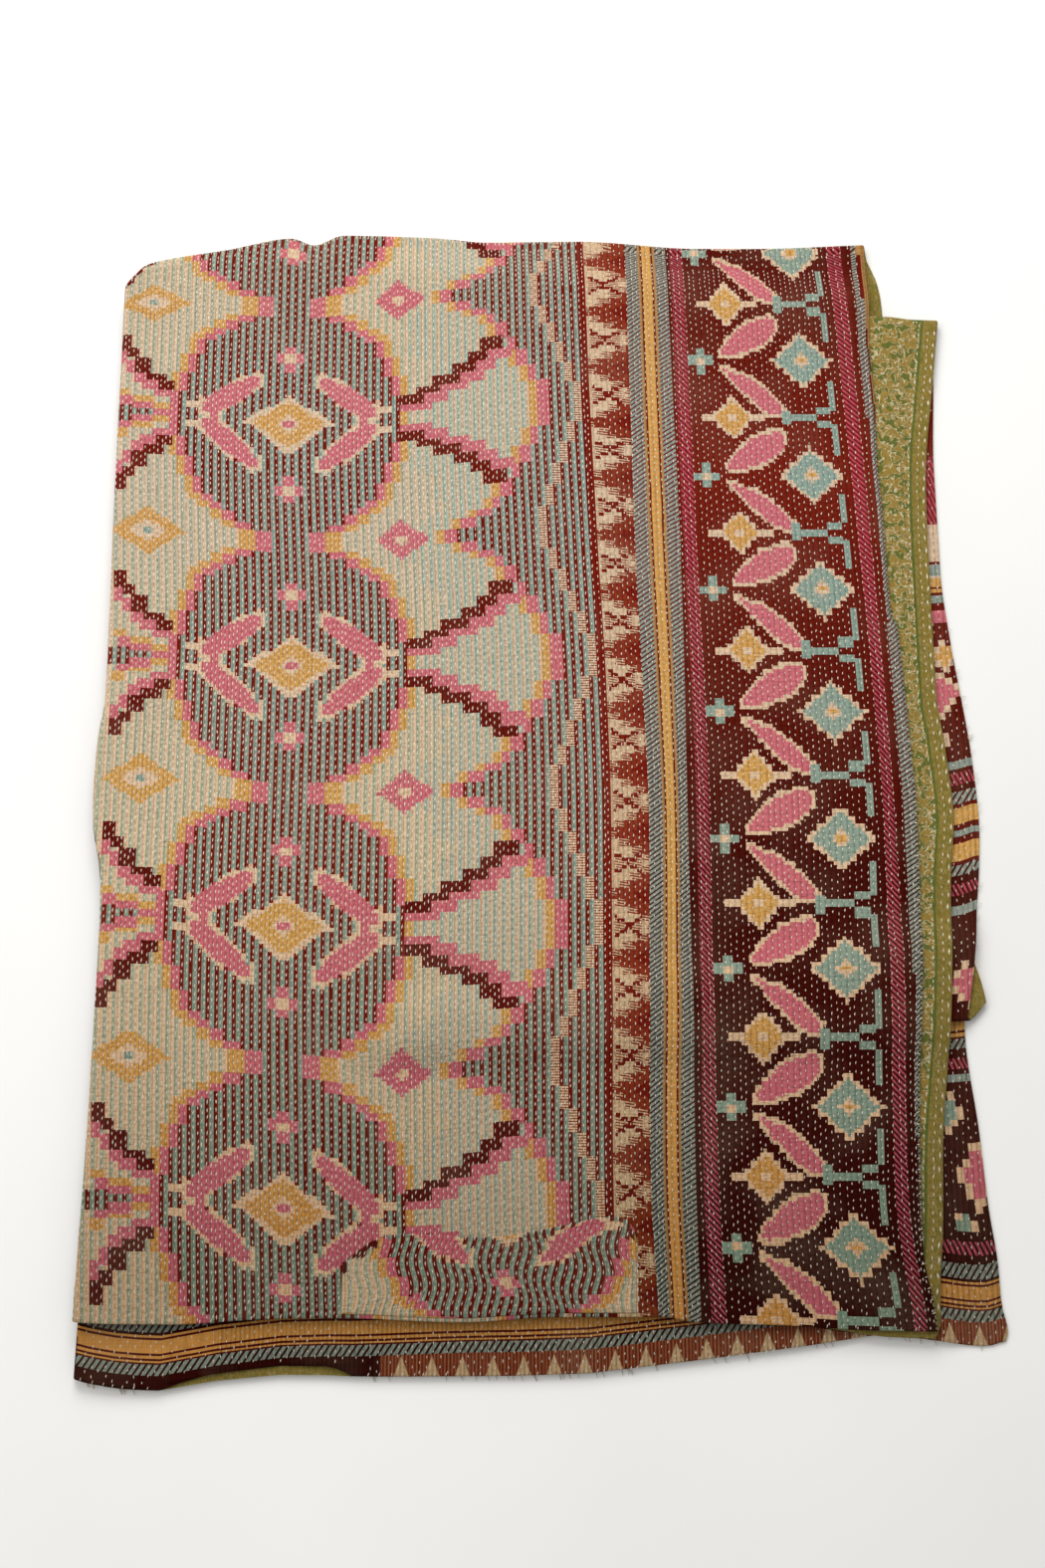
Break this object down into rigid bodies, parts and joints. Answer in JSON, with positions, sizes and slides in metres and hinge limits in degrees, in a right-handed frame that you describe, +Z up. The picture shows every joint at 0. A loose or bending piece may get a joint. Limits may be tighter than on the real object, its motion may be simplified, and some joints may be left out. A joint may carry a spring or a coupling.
{
  "type": "kantha quilt",
  "caption": "Folded hand-stitched cotton kantha quilt lying flat, patterned face up with a small patch, its printed back showing where the hems stagger.",
  "frame": {"origin": "centre of the folded quilt's footprint, on the surface it lies on", "axes": "+X to the right, from the side fold to the hems; +Y away from the viewer, from the hems to the top fold; +Z up"},
  "size_m": [0.8422, 1.1572, 0.0292],
  "materials": {
    "front_cloth": "woven cotton, quilted",
    "back_cloth": "printed cotton, quilted",
    "patch": "woven cotton"
  },
  "bodies": {
    "root": {"front_cloth": "front_cloth", "back_cloth": "back_cloth", "patch": "patch"}
  },
  "joints": []
}
